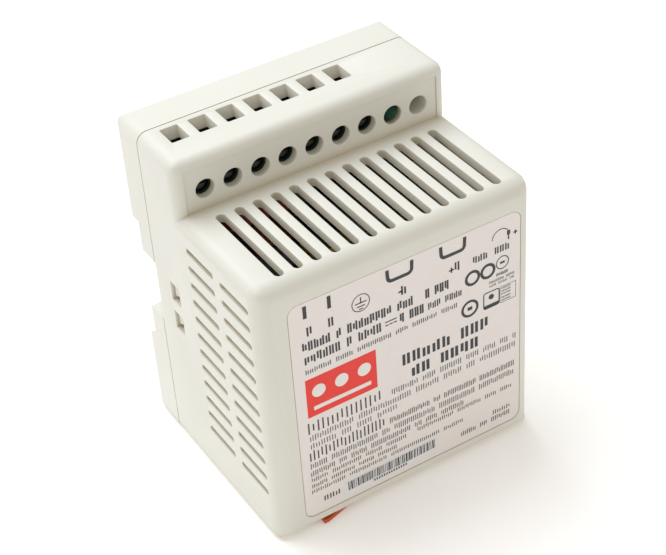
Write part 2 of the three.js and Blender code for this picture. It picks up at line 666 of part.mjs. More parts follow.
addPart("transformer_bobbin", transformerBobbin(9, 50), BLACK_PLASTIC);
addPart("secondary_heat_sink", finnedSink(24.4, 26.4, -10, 30, 62, 1, 14 - TAB_HOLE, 39.5), ALUMINIUM);
addPart("output_rectifier", powerPackage(26.6, 14, 39.5), BLACK_PLASTIC);
addPart("rectifier_screw", packageScrew(26.6, 14, 39.5), SCREW_ZINC);
addPart("output_capacitor_1", canCapacitor(27.5, 20, 5, 21), SLEEVE);
addPart("output_capacitor_2", canCapacitor(15.5, 20, 5, 21), SLEEVE);
addPart("output_choke", cylinderY(27.5, 69.6, 4, FACE - 15, FACE, 20), COPPER_WIRE);
addPart("safety_capacitor", disc(5, 29, 4.5, 3), BLUE_DISC);
addPart("optocoupler", box(2, 8.4, FACE - 3.6, FACE, 18, 22.8), BLACK_PLASTIC);
addPart("controller_chip", box(2, 8.2, FACE - 1.8, FACE, 9, 14), BLACK_PLASTIC);

root.position.z = -ARM.z0;

export default root;
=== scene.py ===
"""A DIN rail power supply: a moulded housing on its rail base, with terminals, label and electronics."""

import json
import math
import random

import bmesh
import bpy
from mathutils import Matrix, Vector

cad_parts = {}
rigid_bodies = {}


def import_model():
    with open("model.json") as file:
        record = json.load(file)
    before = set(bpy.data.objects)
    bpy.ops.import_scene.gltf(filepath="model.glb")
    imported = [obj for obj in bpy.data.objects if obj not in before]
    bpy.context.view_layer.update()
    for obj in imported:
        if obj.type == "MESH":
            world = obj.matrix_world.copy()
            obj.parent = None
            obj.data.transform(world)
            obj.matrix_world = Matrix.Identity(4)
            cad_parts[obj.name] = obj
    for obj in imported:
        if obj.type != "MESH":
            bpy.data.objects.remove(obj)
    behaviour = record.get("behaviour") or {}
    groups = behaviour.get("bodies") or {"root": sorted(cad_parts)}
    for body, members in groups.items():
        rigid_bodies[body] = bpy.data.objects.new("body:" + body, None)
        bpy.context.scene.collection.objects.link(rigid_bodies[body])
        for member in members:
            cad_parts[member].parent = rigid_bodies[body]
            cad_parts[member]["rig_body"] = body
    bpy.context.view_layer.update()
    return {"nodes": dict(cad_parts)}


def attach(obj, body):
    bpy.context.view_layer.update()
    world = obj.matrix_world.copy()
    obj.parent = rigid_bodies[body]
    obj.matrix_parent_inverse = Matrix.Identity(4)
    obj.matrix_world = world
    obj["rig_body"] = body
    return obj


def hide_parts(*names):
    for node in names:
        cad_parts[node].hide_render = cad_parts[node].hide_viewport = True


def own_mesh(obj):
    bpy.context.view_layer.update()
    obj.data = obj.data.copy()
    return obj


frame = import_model()

# --- Camera, light and table -------------------------------------------------------------------
# The unit stands on a pale table under a large soft box that hangs above and behind its left
# shoulder, so the tops are bright, the left side is a little softer and the front is in open shade.
MM = 0.001


def linear(hex_colour):
    """An sRGB hex colour as linear RGBA."""
    channels = [int(hex_colour[i : i + 2], 16) / 255 for i in (1, 3, 5)]
    return [c / 12.92 if c <= 0.04045 else ((c + 0.055) / 1.055) ** 2.4 for c in channels] + [1]


def add_node(tree, kind, inputs=None, **settings):
    """Adds a shader node with its settings, its values and its links."""
    node = tree.nodes.new(kind)
    for key, value in settings.items():
        setattr(node, key, value)
    for key, value in (inputs or {}).items():
        if isinstance(value, bpy.types.NodeSocket):
            tree.links.new(value, node.inputs[key])
        else:
            node.inputs[key].default_value = value
    return node


scene = bpy.context.scene
scene.view_settings.view_transform = "Standard"

camera = bpy.data.objects.new("camera", bpy.data.cameras.new("camera"))
scene.collection.objects.link(camera)
camera.data.sensor_width = 36
camera.data.lens = 92.62
camera.data.clip_start, camera.data.clip_end = 0.01, 20
camera.location = Vector((-170.63, -303.96, 313.87)) * MM
view_line = Vector((0.38906, 0.69100, -0.60922))
level = view_line.to_track_quat("-Z", "Y").to_matrix()
camera.rotation_euler = (level @ Matrix.Rotation(math.radians(-4.3), 3, "Z")).to_euler()
scene.camera = camera


def soft_box(name, place, aim, size, watts, colour):
    lamp = bpy.data.lights.new(name, "AREA")
    lamp.shape, lamp.size, lamp.size_y, lamp.energy = "RECTANGLE", size[0], size[1], watts
    lamp.color = linear(colour)[:3]
    holder = bpy.data.objects.new(name, lamp)
    scene.collection.objects.link(holder)
    holder.location = place
    holder.rotation_euler = (Vector(aim) - Vector(place)).to_track_quat("-Z", "Y").to_euler()


soft_box("overhead_box", (-0.12, 0.35, 0.85), (0, 0, 0.06), (0.7, 0.6), 5.9, "#EEF6FF")
soft_box("left_box", (-0.85, 0.05, 0.35), (0, 0, 0.05), (0.5, 0.5), 0.3, "#F6FAFF")

room = bpy.data.worlds.new("room")
room.use_nodes = True
room.node_tree.nodes["Background"].inputs["Color"].default_value = linear("#FFF8EC")
room.node_tree.nodes["Background"].inputs["Strength"].default_value = 0.57
scene.world = room

table = bpy.data.objects.new("table", bpy.data.meshes.new("table"))
table.data.from_pydata([(-4, -4, 0), (4, -4, 0), (4, 4, 0), (-4, 4, 0)], [], [(0, 1, 2, 3)])
scene.collection.objects.link(table)
table_top = bpy.data.materials.new("white_laminate")
table_top.use_nodes = True
table_shader = table_top.node_tree.nodes["Principled BSDF"]
table_shader.inputs["Base Color"].default_value = linear("#FFFFFF")
table_shader.inputs["Roughness"].default_value = 0.55
table_shader.inputs["Emission Color"].default_value = linear("#FFFFFF")
table_shader.inputs["Emission Strength"].default_value = 0.2
table.data.materials.append(table_top)

# --- Front housing -----------------------------------------------------------------------------
# The shell is injection-moulded ABS/PC in a warm off-white, 2.2 mm thick, with a fine eroded grain
# on its outside. Vents, screwdriver holes and wire funnels are moulded in, each with a soft rim.
HALF_W, FRONT, RISER, SPLIT = 39, -33.5, 3, 20.5
FOOT, VENT_TOP, TOP = 1.3, 79.3, 94.3
WALL, VENT_WALL, ENTRY_WALL = 2.2, 2.4, 3.3
PITCH, AXIS_Z = 7.62, 84.8
TERMINAL_X = [(i - 4) * PITCH for i in range(7)]
LIGHT_X, TRIMMER_X = 3 * PITCH, 4 * PITCH
ALONG = {"x": lambda u, v, w: (w, u, v), "y": lambda u, v, w: (u, w, v), "z": lambda u, v, w: (u, v, w)}


def ring(u0, u1, v0, v1, radius, grow=0, steps=8):
    """Outline of a rectangle with round corners, or of a circle or slot when the radius is half a side."""
    u0, u1, v0, v1 = u0 - grow, u1 + grow, v0 - grow, v1 + grow
    r = min(max(radius + grow, 1e-3), (u1 - u0) / 2 - 1e-4, (v1 - v0) / 2 - 1e-4)
    points = []
    centres = ((u1 - r, v0 + r, -90), (u1 - r, v1 - r, 0), (u0 + r, v1 - r, 90), (u0 + r, v0 + r, 180))
    for cu, cv, start in centres:
        for k in range(steps + 1):
            a = math.radians(start + 90 * k / steps)
            points.append((cu + r * math.cos(a), cv + r * math.sin(a)))
    return points


def loft(bm, axis, levels):
    """Adds a closed body from outlines of equal length, each at its own depth along the axis."""
    rows = [[bm.verts.new(Vector(ALONG[axis](u, v, w)) * MM) for u, v in line] for line, w in levels]
    count = len(rows[0])
    for low, high in zip(rows, rows[1:]):
        for i in range(count):
            j = (i + 1) % count
            bm.faces.new((low[i], low[j], high[j], high[i]))
    bm.faces.new(rows[0])
    bm.faces.new(rows[-1])


def piece(name, make):
    """A new mesh object whose bodies are drawn by make(bm), with every face turned outwards."""
    bm = bmesh.new()
    make(bm)
    bmesh.ops.recalc_face_normals(bm, faces=bm.faces)
    mesh = bpy.data.meshes.new(name)
    bm.to_mesh(mesh)
    bm.free()
    made = bpy.data.objects.new(name, mesh)
    scene.collection.objects.link(made)
    return made


def bake(obj):
    """Makes the modifiers part of the mesh."""
    bpy.context.view_layer.update()
    graph = bpy.context.evaluated_depsgraph_get()
    mesh = bpy.data.meshes.new_from_object(obj.evaluated_get(graph))
    obj.modifiers.clear()
    obj.data = mesh


def combine(target, tool, operation, overlapping=False):
    """Joins, cuts or crosses the target with the tool, whose own bodies may overlap, and drops the tool."""
    step = target.modifiers.new(operation, "BOOLEAN")
    step.operation, step.solver, step.object = operation, "EXACT", tool
    step.use_self = overlapping
    bake(target)
    bpy.data.objects.remove(tool)


def rounded_box(name, x, y, z, radii, steps=9):
    """A box whose edges get their own radius: radii maps a test on the edge's middle to millimetres."""
    def make(bm):
        loft(bm, "z", [([(x[0], y[0]), (x[1], y[0]), (x[1], y[1]), (x[0], y[1])], h) for h in z])
        weight = bm.edges.layers.float.new("bevel_weight_edge")
        widest = max(radius for _, radius in radii)
        for edge in bm.edges:
            middle = (edge.verts[0].co + edge.verts[1].co) / 2 / MM
            for test, radius in radii:
                if test(middle):
                    edge[weight] = radius / widest
    made = piece(name, make)
    step = made.modifiers.new("edges", "BEVEL")
    step.limit_method, step.segments = "WEIGHT", steps
    step.width = max(radius for _, radius in radii) * MM
    bake(made)
    return made


def near(a, b):
    return abs(a - b) < 0.01


def opening(bm, axis, outline, face, inward, depth, rim, steps=8):
    """Adds a cutter for an opening with a rounded rim, from outside a wall face to a depth inside it."""
    levels = [(ring(*outline, rim, steps), face - inward * 1.0)]
    for k in range(4):
        a = math.radians(30 * k)
        grow, sink = rim * (1 - math.sin(a)), rim * (1 - math.cos(a))
        levels.append((ring(*outline, grow, steps), face + inward * sink))
    levels.append((ring(*outline, 0, steps), face + inward * depth))
    loft(bm, axis, levels)


housing = rounded_box("front_shell", (-HALF_W, HALF_W), (FRONT, SPLIT), (FOOT, VENT_TOP), [
    (lambda m: near(m.y, FRONT) and abs(m.x) > 38, 4.4),
    (lambda m: near(m.y, FRONT) and near(m.z, VENT_TOP), 4.2),
    (lambda m: near(m.y, FRONT) and near(m.z, FOOT), 1.6),
    (lambda m: abs(m.x) > 38 and near(m.z, VENT_TOP), 3.2),
    (lambda m: abs(m.x) > 38 and near(m.z, FOOT), 0.8),
])
upper = rounded_box("upper_shell", (-HALF_W, HALF_W), (RISER, SPLIT), (VENT_TOP - 12, TOP), [
    (lambda m: near(m.y, RISER) and abs(m.x) > 38, 3.0),
    (lambda m: near(m.y, RISER) and near(m.z, TOP), 2.8),
    (lambda m: abs(m.x) > 38 and near(m.z, TOP), 3.0),
])
combine(housing, upper, "UNION")


def inside_of_housing(bm):
    inner = HALF_W - WALL
    top = VENT_TOP - VENT_WALL
    loft(bm, "z", [(ring(-inner, inner, FRONT + VENT_WALL, SPLIT + 1, 2.4), h) for h in (FOOT + WALL, top)])


def inside_of_head(bm):
    inner = HALF_W - WALL
    outline = ring(-inner, inner, RISER + VENT_WALL, SPLIT + 1, 1.2)
    loft(bm, "z", [(outline, VENT_TOP - 6), (outline, TOP - ENTRY_WALL)])


combine(housing, piece("housing_core", inside_of_housing), "DIFFERENCE")
combine(housing, piece("head_core", inside_of_head), "DIFFERENCE")


def housing_openings(bm):
    for i in range(13):
        x = 0.55 + (i - 6) * 5.07
        slot = (x - 1.2, x + 1.2, FRONT + 3.3, FRONT + 32.6, 1.2)
        opening(bm, "z", slot, VENT_TOP, -1, VENT_WALL + 1, 0.22)
        opening(bm, "z", slot, FOOT, 1, WALL + 1, 0.22)
    for row in range(12):
        z = 72.1 - row * 5.18
        for y0, y1 in ((FRONT + 3.8, FRONT + 17.1), (FRONT + 20.4, FRONT + 33.6)):
            for side in (-1, 1):
                opening(bm, "x", (y0, y1, z - 0.85, z + 0.85, 0.85), side * HALF_W, -side, WALL + 1, 0.2, 6)
    for x in [*TERMINAL_X, LIGHT_X, TRIMMER_X]:
        hole = (x - 2.55, x + 2.55, AXIS_Z - 2.55, AXIS_Z + 2.55, 2.55)
        opening(bm, "y", hole, RISER + 0.25, 1, VENT_WALL + 1, 0.25, 10)
    for x in TERMINAL_X:
        mouth = [ring(x - 3.025, x + 1.725, 12.08, 18.82, 0.3, g, 4) for g in (0.15, 0.15, 0.04, 0)]
        throat = ring(x - 2.95, x + 1.65, 12.9, 18, 0.2, 0, 4)
        depths = (TOP + 1, TOP, TOP - 0.06, TOP - 0.18, TOP - 3, TOP - 5)
        loft(bm, "z", list(zip([*mouth, throat, throat], depths)))
    for z0, z1 in ((40.3, 45.9), (49.3, 55.1)):
        for side in (-1, 1):
            opening(bm, "x", (8, 12.6, z0, z1, 0.25), side * HALF_W, -side, WALL + 1, 0.15, 4)


combine(housing, piece("moulded_openings", housing_openings), "DIFFERENCE")


def housing_recesses(bm):
    label_bed = ring(-31.2, 35.2, FOOT + 3.0, FOOT + 70.6, 2.8, 0, 8)
    loft(bm, "y", [(label_bed, FRONT - 1), (label_bed, FRONT + 0.3)])
    face = ring(-36, 36, VENT_TOP + 0.05, TOP - 3, 0.1, 0, 3)
    loft(bm, "y", [(face, RISER - 1), (face, RISER + 0.25)])


combine(housing, piece("shallow_recesses", housing_recesses), "DIFFERENCE")


def driver_guide(bm):
    levels = [(RISER + VENT_WALL - 0.2, 3.65), (10.4, 3.65), (10.4, 2.55), (RISER + VENT_WALL - 0.2, 2.55)]
    rows = []
    for y, r in levels:
        outline = ring(TRIMMER_X - r, TRIMMER_X + r, AXIS_Z - r, AXIS_Z + r, r, 0, 8)
        rows.append([bm.verts.new(Vector((u, y, v)) * MM) for u, v in outline])
    for low, high in zip(rows, [*rows[1:], rows[0]]):
        for i in range(len(low)):
            j = (i + 1) % len(low)
            bm.faces.new((low[i], low[j], high[j], high[i]))


combine(housing, piece("driver_guide", driver_guide), "UNION")


def shade(obj, angle=32):
    """Smooth shading that keeps every edge sharper than the angle."""
    for face in obj.data.polygons:
        face.use_smooth = True
    obj.data.set_sharp_from_angle(angle=math.radians(angle))


# Painted shade: within a few millimetres of other walls the base colour is darkened and browned, standing in
# for the shade and warm bounced light between them.
GAP_REACH, GAP_SHADE_TINT = 3, (0.74, 0.63, 0.47, 1)


def moulded_plastic(name, colour, shade_colour, grain_mm, grain_depth_mm, roughness, ior=1.53):
    """Moulded plastic: two close tones that drift over centimetres, painted shade that darkens and browns it
    in gaps, and a pebbled grain.
    """
    made = bpy.data.materials.new(name)
    made.use_nodes = True
    tree = made.node_tree
    shader = tree.nodes["Principled BSDF"]
    place = add_node(tree, "ShaderNodeTexCoord").outputs["Object"]
    drift = add_node(tree, "ShaderNodeTexNoise", {"Vector": place, "Scale": 1 / (28 * MM), "Detail": 3})
    tone = add_node(tree, "ShaderNodeMix", {0: drift.outputs[0], 6: linear(shade_colour), 7: linear(colour)},
                    data_type="RGBA")
    grain = add_node(tree, "ShaderNodeTexNoise",
                     {"Vector": place, "Scale": 1 / (grain_mm * MM), "Detail": 2, "Roughness": 0.6})
    gloss = add_node(tree, "ShaderNodeMapRange",
                     {0: grain.outputs[0], 3: roughness - 0.06, 4: roughness + 0.08})
    bump = add_node(tree, "ShaderNodeBump",
                    {"Strength": 0.55, "Distance": grain_depth_mm * MM, "Height": grain.outputs[0]})
    # Painted shade: ambient occlusion darkens and browns the base colour in slots, holes, funnels and other
    # gaps.
    gap = add_node(tree, "ShaderNodeAmbientOcclusion", {"Distance": GAP_REACH * MM}, samples=4)
    painted_gap_shade = add_node(tree, "ShaderNodeMix", {0: gap.outputs["AO"], 6: GAP_SHADE_TINT, 7: (1, 1, 1, 1)},
                      data_type="RGBA")
    tone_with_painted_shade = add_node(tree, "ShaderNodeMix", {0: 1.0, 6: tone.outputs[2], 7: painted_gap_shade.outputs[2]},
                       data_type="RGBA", blend_type="MULTIPLY")
    tree.links.new(tone_with_painted_shade.outputs[2], shader.inputs["Base Color"])
    tree.links.new(gloss.outputs[0], shader.inputs["Roughness"])
    tree.links.new(bump.outputs[0], shader.inputs["Normal"])
    shader.inputs["IOR"].default_value = ior
    return made


# The tool's grain is about 0.1 mm; it is drawn at 0.45 mm so that it shows at this distance.
moulded_abs = moulded_plastic("moulded_abs_off_white", "#EAE9E1", "#E4E3DA", 0.45, 0.03, 0.48)
housing.name = "front_housing_shell"
housing.data.materials.clear()
housing.data.materials.append(moulded_abs)
shade(housing)
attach(housing, "case")
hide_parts("front_housing")

# --- Rear base ---------------------------------------------------------------------------------
# The back is moulded in the same plastic and closes the housing. A step across it takes the rail,
# two fixed hooks hang over the rail's top edge, and four barbed arms snap into the side windows.
SPLIT_GAP, SIDE_REAR, SEAT, BACK = 0.3, 32, 27.5, 33.5
BASE_FRONT = SPLIT + SPLIT_GAP
RAIL_LOW, RAIL_HIGH = FOOT + 24.4, FOOT + 63.4


def prism(axis, outline, low, high):
    return lambda bm: loft(bm, axis, [(outline, low), (outline, high)])


def arc(cu, cv, radius, start, end, steps=8):
    """Points on an arc, its angles in degrees."""
    turn = [math.radians(start + (end - start) * k / steps) for k in range(steps + 1)]
    return [(cu + radius * math.cos(a), cv + radius * math.sin(a)) for a in turn]


def box_cutter(*boxes):
    def make(bm):
        for x0, x1, y0, y1, z0, z1 in boxes:
            loft(bm, "z", [(ring(x0, x1, y0, y1, 0.3, 0, 3), z0), (ring(x0, x1, y0, y1, 0.3, 0, 3), z1)])
    return make


def mirrored(x0, x1, *rest):
    return [(x0, x1, *rest), (-x1, -x0, *rest)]


side_profile = [(BASE_FRONT, FOOT), *arc(SIDE_REAR - 1.6, FOOT + 1.6, 1.6, -90, 0),
                (SIDE_REAR, RAIL_LOW), (SEAT + 1, FOOT + 27.1), (SEAT, FOOT + 27.1), (SEAT, RAIL_HIGH),
                (SIDE_REAR, RAIL_HIGH), *arc(SIDE_REAR - 2, TOP - 2, 2, 0, 90), (BASE_FRONT, TOP)]
base = piece("rear_shell", prism("x", side_profile, -HALF_W, HALF_W))
corners = [(-HALF_W, FOOT), (HALF_W, FOOT), *arc(HALF_W - 3, TOP - 3, 3, 0, 90, 9),
           *arc(-HALF_W + 3, TOP - 3, 3, 90, 180, 9)]
combine(base, piece("front_outline", prism("y", corners, BASE_FRONT - 1, BACK)), "INTERSECT")
plan = [(-HALF_W, BASE_FRONT - 2), (HALF_W, BASE_FRONT - 2), *arc(HALF_W - 1.5, SIDE_REAR - 1.5, 1.5, 0, 90),
        *arc(-HALF_W + 1.5, SIDE_REAR - 1.5, 1.5, 90, 180)]
combine(base, piece("plan_outline", prism("z", plan, 0, TOP + 1)), "INTERSECT")
upper_pad = [(SEAT, RAIL_HIGH), (BACK, RAIL_HIGH), (BACK, FOOT + 86),
             (SIDE_REAR - 1, FOOT + 88.5), (SEAT, FOOT + 88.5)]
lower_pad = [(SEAT - 1, FOOT), (BACK - 0.8, FOOT), (BACK, FOOT + 0.8), (BACK, RAIL_LOW - 1),
             (SEAT + 1.2, FOOT + 27.1), (SEAT - 1, FOOT + 27.1)]
combine(base, piece("upper_pad", prism("x", upper_pad, -26, 26)), "UNION")
combine(base, piece("lower_pad", prism("x", lower_pad, -18, 18)), "UNION")
inner = HALF_W - WALL
combine(base, piece("base_core", box_cutter(
    (-inner, inner, BASE_FRONT - 1, SIDE_REAR - WALL, RAIL_HIGH + WALL, TOP - WALL - 1),
    (-inner, inner, BASE_FRONT - 1, SEAT - WALL, FOOT + 56.8, RAIL_HIGH + WALL + 1),
    (-31, 31, BASE_FRONT - 1, SEAT - WALL, FOOT + 33.4, FOOT + 57.6),
    (-inner, inner, BASE_FRONT - 1, SEAT - WALL, RAIL_LOW - WALL - 1, FOOT + 34.2),
    *mirrored(17, inner, BASE_FRONT - 1, SIDE_REAR - WALL, FOOT + WALL, RAIL_LOW - WALL),
    (-17.5, 17.5, BASE_FRONT - 1, 26.4, FOOT + WALL, RAIL_LOW - WALL),
)), "DIFFERENCE", overlapping=True)
combine(base, piece("base_notches", box_cutter(
    *mirrored(33, HALF_W + 1, BASE_FRONT - 1, SEAT + 1, FOOT + 36.4, FOOT + 54.6),
    (-11.3, 11.3, 28.6, BACK + 1, FOOT - 1, FOOT + 28),
)), "DIFFERENCE")
combine(base, piece("latch_guides", box_cutter((-12.9, 12.9, 28.6, 30.4, FOOT - 1, FOOT + 28))), "DIFFERENCE")
for x0, x1 in ((-22, -8), (8, 22)):
    hook = [(SEAT + 1.5, RAIL_HIGH + 1), (SEAT + 1.5, FOOT + 61.6), (SEAT + 2, FOOT + 61),
            (SEAT + 4.4, FOOT + 62.6), (SEAT + 4.4, RAIL_HIGH + 1)]
    combine(base, piece("rail_hook", prism("x", hook, x0, x1)), "UNION")
notch_floors = mirrored(31, 36.5, BASE_FRONT - 1.4, BASE_FRONT + 0.01, FOOT + 34.4, FOOT + 56.6)
combine(base, piece("notch_floors", box_cutter(*notch_floors)), "UNION")
combine(base, piece("spring_rib", box_cutter((-2.7, 2.7, 27.6, 32.4, FOOT + 7.2, FOOT + 8.4))), "UNION")
for z0 in (FOOT + 39, FOOT + 48):
    for side in (-1, 1):
        arm = [(34.7, BASE_FRONT - 1.4), (34.7, 7.6), (35.6, 7), (38.1, 11.6), (38.1, 12.2), (36.4, 12.2),
               (36.4, BASE_FRONT - 1.4)]
        arm = [(side * u, v) for u, v in arm]
        combine(base, piece("snap_arm", prism("z", arm, z0 + 1.2, z0 + 5.3)), "UNION")
edges = base.modifiers.new("edges", "BEVEL")
edges.width, edges.segments, edges.limit_method, edges.angle_limit = 0.2 * MM, 2, "ANGLE", math.radians(50)
edges.use_clamp_overlap = True
base.name = "rear_base_shell"
base.data.materials.clear()
base.data.materials.append(moulded_abs)
shade(base)
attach(base, "case")
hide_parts("rear_base")

# --- Rail latch --------------------------------------------------------------------------------
# The orange latch is one acetal moulding: a plate with a nose that catches the rail's lower edge,
# guided in the base, and a release arm that runs forward under the case to where a hand can pull it.
# Acetal is slippery and has a satin skin, so it shows broader highlights than the shell.
ACETAL_GRAIN = 0.5


def refined(node, material, round_mm, name=None, angle=30):
    """A finished piece in place of a CAD body: flat faces are made whole and sharp edges are rounded."""
    source = frame["nodes"][node]
    bm = bmesh.new()
    bm.from_mesh(source.data)
    bmesh.ops.remove_doubles(bm, verts=bm.verts, dist=1e-6)
    bmesh.ops.dissolve_limit(bm, angle_limit=math.radians(1), verts=bm.verts, edges=bm.edges)
    mesh = bpy.data.meshes.new(node + "_finished")
    bm.to_mesh(mesh)
    bm.free()
    made = bpy.data.objects.new(name or node + "_finished", mesh)
    scene.collection.objects.link(made)
    made.data.materials.append(material)
    if round_mm:
        step = made.modifiers.new("edges", "BEVEL")
        step.width, step.segments = round_mm * MM, 3
        step.limit_method, step.angle_limit = "ANGLE", math.radians(angle)
        bake(made)
    shade(made, 40)
    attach(made, source["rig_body"])
    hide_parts(node)
    return made


orange_acetal = moulded_plastic("moulded_acetal_orange", "#D65F16", "#C8540F",
                                ACETAL_GRAIN, 0.012, 0.36, 1.48)
refined("rail_latch", orange_acetal, 0.3)

# --- Latch spring ------------------------------------------------------------------------------
# A coil of drawn spring steel pushes the latch home against a rib of the base. It is closed and
# squeezed as the latch is pulled down, from its free height of 11.5 mm to about half of that.
def steel(name, colour, roughness, streak_mm):
    """Bare or plated metal, with fine streaks left by drawing, rolling or turning."""
    made = bpy.data.materials.new(name)
    made.use_nodes = True
    tree = made.node_tree
    shader = tree.nodes["Principled BSDF"]
    place = add_node(tree, "ShaderNodeTexCoord").outputs["Object"]
    streaks = add_node(tree, "ShaderNodeTexNoise",
                       {"Vector": place, "Scale": 1 / (streak_mm * MM), "Detail": 4})
    gloss = add_node(tree, "ShaderNodeMapRange",
                     {0: streaks.outputs[0], 3: roughness - 0.08, 4: roughness + 0.12})
    darker = [0.8 * c for c in linear(colour)[:3]] + [1]
    stain = add_node(tree, "ShaderNodeMix", {0: streaks.outputs[0], 6: linear(colour), 7: darker},
                     data_type="RGBA")
    relief = add_node(tree, "ShaderNodeBump",
                      {"Strength": 0.25, "Distance": 0.01 * MM, "Height": streaks.outputs[0]})
    tree.links.new(stain.outputs[2], shader.inputs["Base Color"])
    tree.links.new(gloss.outputs[0], shader.inputs["Roughness"])
    tree.links.new(relief.outputs[0], shader.inputs["Normal"])
    shader.inputs["Metallic"].default_value = 1
    return made


def coil(bm):
    turns, coil_r, wire_r, low, high = 6, 1.6, 0.24, FOOT + 8.84, FOOT + 19.96
    rows = []
    for k in range(turns * 20 + 1):
        t = k / (turns * 20)
        a = math.tau * turns * t
        centre = Vector((coil_r * math.cos(a), 30.9 + coil_r * math.sin(a), low + (high - low) * t))
        out = Vector((math.cos(a), math.sin(a), 0))
        up = Vector((0, 0, 1))
        rows.append([bm.verts.new((centre + wire_r * (out * math.cos(b) + up * math.sin(b))) * MM)
                     for b in (math.tau * s / 10 for s in range(10))])
    for low_row, high_row in zip(rows, rows[1:]):
        for i in range(10):
            bm.faces.new((low_row[i], low_row[(i + 1) % 10], high_row[(i + 1) % 10], high_row[i]))
    bm.faces.new(rows[0])
    bm.faces.new(rows[-1])


spring = piece("latch_return_spring", coil)
spring.data.materials.append(steel("drawn_spring_steel", "#A9A9A6", 0.3, 0.8))
shade(spring, 60)
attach(spring, "case")
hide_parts("latch_spring")
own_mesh(spring)

# --- Rating label ------------------------------------------------------------------------------
# A satin polyester film lies in a shallow bed in the front. It is a shade greyer and pinker than
# the shell; the thin printed border just inside its edge is not drawn.
LABEL_Y = FRONT + 0.08
label_outline = ring(-31, 35, FOOT + 3.2, FOOT + 70.4, 2.6, 0, 10)
label = piece("rating_label_film", prism("y", label_outline, LABEL_Y, LABEL_Y + 0.19))


def printed_film(name, colour, other, roughness):
    """Thin film or ink: an even colour, a faint mottle and the slight waviness of what lies under it."""
    made = bpy.data.materials.new(name)
    made.use_nodes = True
    tree = made.node_tree
    shader = tree.nodes["Principled BSDF"]
    place = add_node(tree, "ShaderNodeTexCoord").outputs["Object"]
    mottle = add_node(tree, "ShaderNodeTexNoise", {"Vector": place, "Scale": 1 / (3 * MM), "Detail": 4})
    tone = add_node(tree, "ShaderNodeMix", {0: mottle.outputs[0], 6: linear(other), 7: linear(colour)},
                    data_type="RGBA")
    wave = add_node(tree, "ShaderNodeTexNoise", {"Vector": place, "Scale": 1 / (9 * MM), "Detail": 1})
    relief = add_node(tree, "ShaderNodeBump",
                      {"Strength": 0.25, "Distance": 0.05 * MM, "Height": wave.outputs[0]})
    tree.links.new(tone.outputs[2], shader.inputs["Base Color"])
    tree.links.new(relief.outputs[0], shader.inputs["Normal"])
    shader.inputs["Roughness"].default_value = roughness
    return made


label.data.materials.append(printed_film("polyester_film_grey", "#F4EEEB", "#EFE8E5", 0.36))
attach(label, "case")
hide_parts("label_plate")

# --- Print on the label ------------------------------------------------------------------------
# Screen-printed ink, a few hundredths of a millimetre proud. Words are only rows of short upright
# dashes as long and high as a line of type; brackets, earth, plus and minus are general signs.
INK_TOP, INK_DEPTH = LABEL_Y - 0.04, LABEL_Y + 0.02
random.seed(7)


def bar(bm, x0, x1, z0, z1, top=INK_TOP):
    corners = [(x0, FOOT + z0), (x1, FOOT + z0), (x1, FOOT + z1), (x0, FOOT + z1)]
    loft(bm, "y", [(corners, top), (corners, INK_DEPTH)])


def disc(bm, x, z, radius, top=INK_TOP):
    outline = ring(x - radius, x + radius, FOOT + z - radius, FOOT + z + radius, radius, 0, 6)
    loft(bm, "y", [(outline, top), (outline, INK_DEPTH)])


def type_row(bm, x0, x1, z0, z1, word_lengths, weight):
    """A line of mock type between two ends: every letter is two upright dashes of chance height."""
    cell = (x1 - x0) / (sum(word_lengths) + 0.9 * (len(word_lengths) - 1))
    x = x0
    for letters in word_lengths:
        for _ in range(letters):
            for shift in (0, 0.52 * cell - weight / 4):
                low = z0 + random.choice((0, 0, 0, 0.2)) * (z1 - z0)
                high = z1 - random.choice((0, 0, 0, 0.2)) * (z1 - z0)
                bar(bm, x + shift, x + shift + weight, low, high)
            x += cell
        x += 0.9 * cell


def stroke(bm, points, width, closed=False):
    """A printed line of even width through points on the label, mitred at its bends."""
    ends = len(points)
    left, right = [], []
    for i in range(ends):
        before = points[(i - 1) % ends] if closed or i else points[i]
        after = points[(i + 1) % ends] if closed or i < ends - 1 else points[i]
        here = Vector(points[i])
        first = (here - Vector(before)) if before != points[i] else Vector(after) - here
        second = (Vector(after) - here) if after != points[i] else first
        n1 = Vector((-first.y, first.x)).normalized()
        n2 = Vector((-second.y, second.x)).normalized()
        middle = (n1 + n2).normalized()
        reach = width / 2 / max(middle.dot(n1), 0.35)
        left.append(here + middle * reach)
        right.append(here - middle * reach)
    rows = []
    for i in range(ends):
        rows.append([bm.verts.new(Vector((p.x, y, FOOT + p.y)) * MM) for p, y in
                     ((left[i], INK_TOP), (right[i], INK_TOP), (right[i], INK_DEPTH), (left[i], INK_DEPTH))])
    for i in range(ends if closed else ends - 1):
        low, high = rows[i], rows[(i + 1) % ends]
        for k in range(4):
            bm.faces.new((low[k], low[(k + 1) % 4], high[(k + 1) % 4], high[k]))
    if not closed:
        bm.faces.new(rows[0])
        bm.faces.new(rows[-1])


def circle(x, z, radius):
    return arc(x, z, radius, 0, 352, 32)


